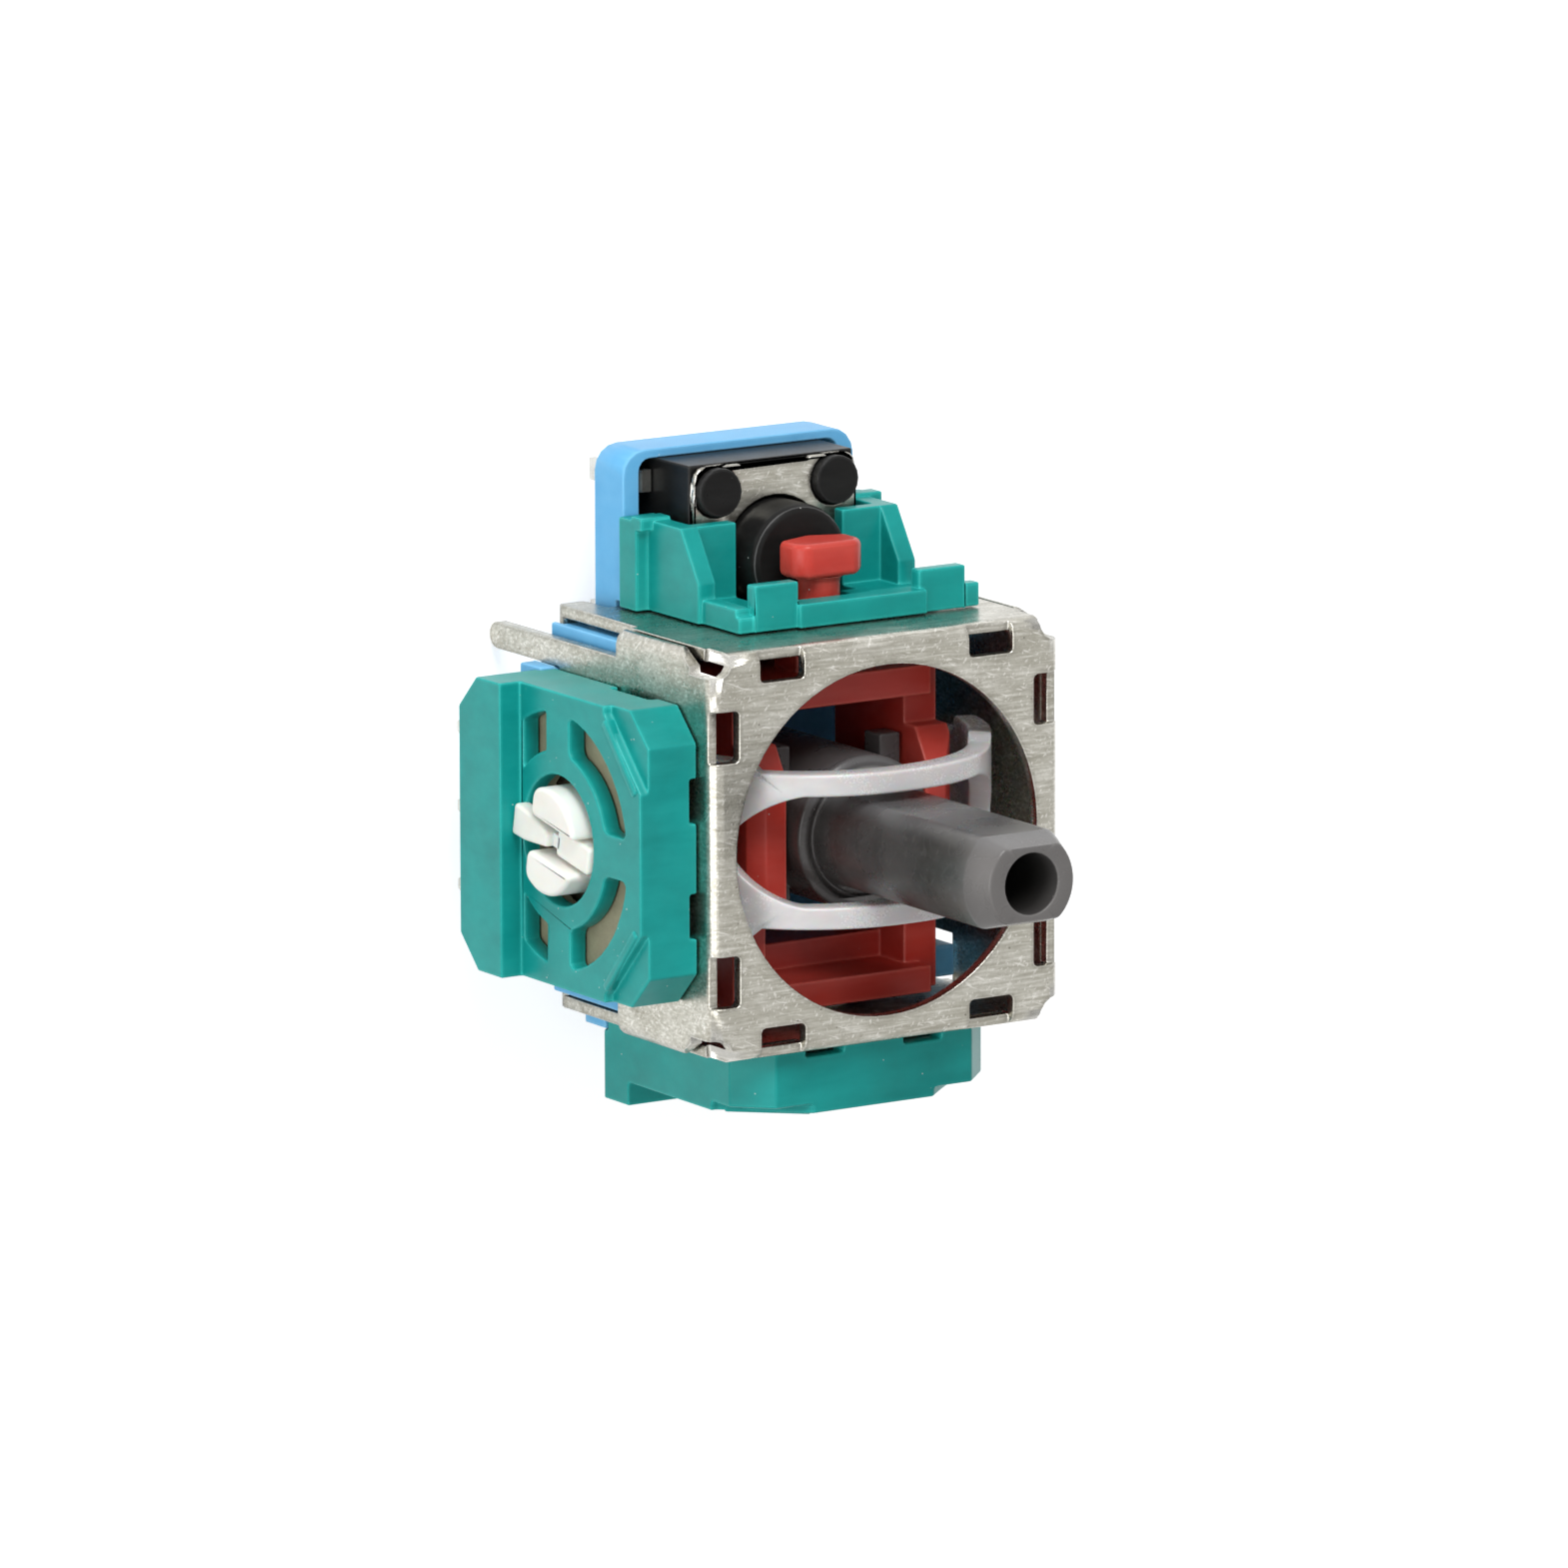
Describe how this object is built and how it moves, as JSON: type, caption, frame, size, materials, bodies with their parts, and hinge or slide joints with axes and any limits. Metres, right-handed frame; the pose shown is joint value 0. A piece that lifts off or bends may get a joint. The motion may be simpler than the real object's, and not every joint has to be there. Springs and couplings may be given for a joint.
{
  "type": "controller analog stick",
  "caption": "Thumb stick module: folded steel frame over a moulded base, slotted gimbal arms, two rotary position sensors, centring spring and a press switch beside it.",
  "frame": {"origin": "on the stick's axis, in the plane of the base's underside, where the module sits on its circuit board", "axes": "+Z along the upright stick, +Y towards the press switch, +X away from the first position sensor"},
  "size_m": [0.0161, 0.0206, 0.021],
  "materials": {
    "steel": "satin",
    "tin": "satin",
    "spring_steel": "bright",
    "green_plastic": "satin",
    "blue_plastic": "satin",
    "red_plastic": "satin",
    "white_plastic": "satin",
    "clear_white_plastic": "milky",
    "grey_plastic": "smoky",
    "black_plastic": "satin",
    "board": "matt"
  },
  "bodies": {
    "housing": {"steel_frame": "steel", "base": "blue_plastic", "switch_bracket": "green_plastic", "switch_body": "black_plastic", "switch_plate": "steel", "switch_dome": "steel", "switch_terminal_1": "tin", "switch_terminal_2": "tin", "switch_terminal_3": "tin", "switch_terminal_4": "tin", "pot_x_cover": "green_plastic", "pot_x_board": "board", "pot_x_terminal_1": "tin", "pot_x_terminal_2": "tin", "pot_x_terminal_3": "tin", "pot_y_cover": "green_plastic", "pot_y_board": "board", "pot_y_terminal_1": "tin", "pot_y_terminal_2": "tin", "pot_y_terminal_3": "tin"},
    "side_rotor": {"pot_y_rotor": "white_plastic", "pot_y_wiper": "tin"},
    "cradle": {"lower_arm": "red_plastic"},
    "stick": {"lever": "grey_plastic", "return_spring": "spring_steel"},
    "foot": {"spring_foot": "white_plastic"},
    "yoke": {"upper_arm": "clear_white_plastic", "pot_x_rotor": "white_plastic", "pot_x_wiper": "tin"},
    "plunger": {"switch_plunger": "black_plastic"}
  },
  "joints": [
    {"name": "tilt_side", "type": "hinge", "parent": "housing", "child": "side_rotor", "pos_m": [0, 0, 0.0046], "axis": [0, 1, 0], "range_deg": [-20, 20], "stiffness_Nm_per_rad": 0.01},
    {"name": "press_rock", "type": "hinge", "parent": "side_rotor", "child": "cradle", "pos_m": [0, -0.0064, 0.0046], "axis": [-1, 0, 0], "range_deg": [0, 0.95], "stiffness_Nm_per_rad": 0.1},
    {"name": "tilt_updown", "type": "hinge", "parent": "cradle", "child": "stick", "pos_m": [0, 0, 0.0046], "axis": [1, 0, 0], "range_deg": [-20, 20], "stiffness_Nm_per_rad": 0.01},
    {"name": "yoke_turn", "type": "hinge", "parent": "housing", "child": "yoke", "pos_m": [0, 0, 0.0046], "axis": [1, 0, 0], "range_deg": [-20.6, 20.6]},
    {"name": "foot_slide", "type": "slide", "parent": "stick", "child": "foot", "axis": [0, 0, 1], "range_m": [0, 0.001], "stiffness_N_per_m": 60, "deforming": ["return_spring"]},
    {"name": "plunger_press", "type": "slide", "parent": "housing", "child": "plunger", "axis": [0, 0, -1], "range_m": [0, 0.00025], "deforming": ["switch_dome"]}
  ],
  "couplings": [
    {"joint": "yoke_turn", "follows": "tilt_updown", "ratio": 1.03},
    {"joint": "plunger_press", "follows": "press_rock", "m_per_rad": 0.0147}
  ]
}
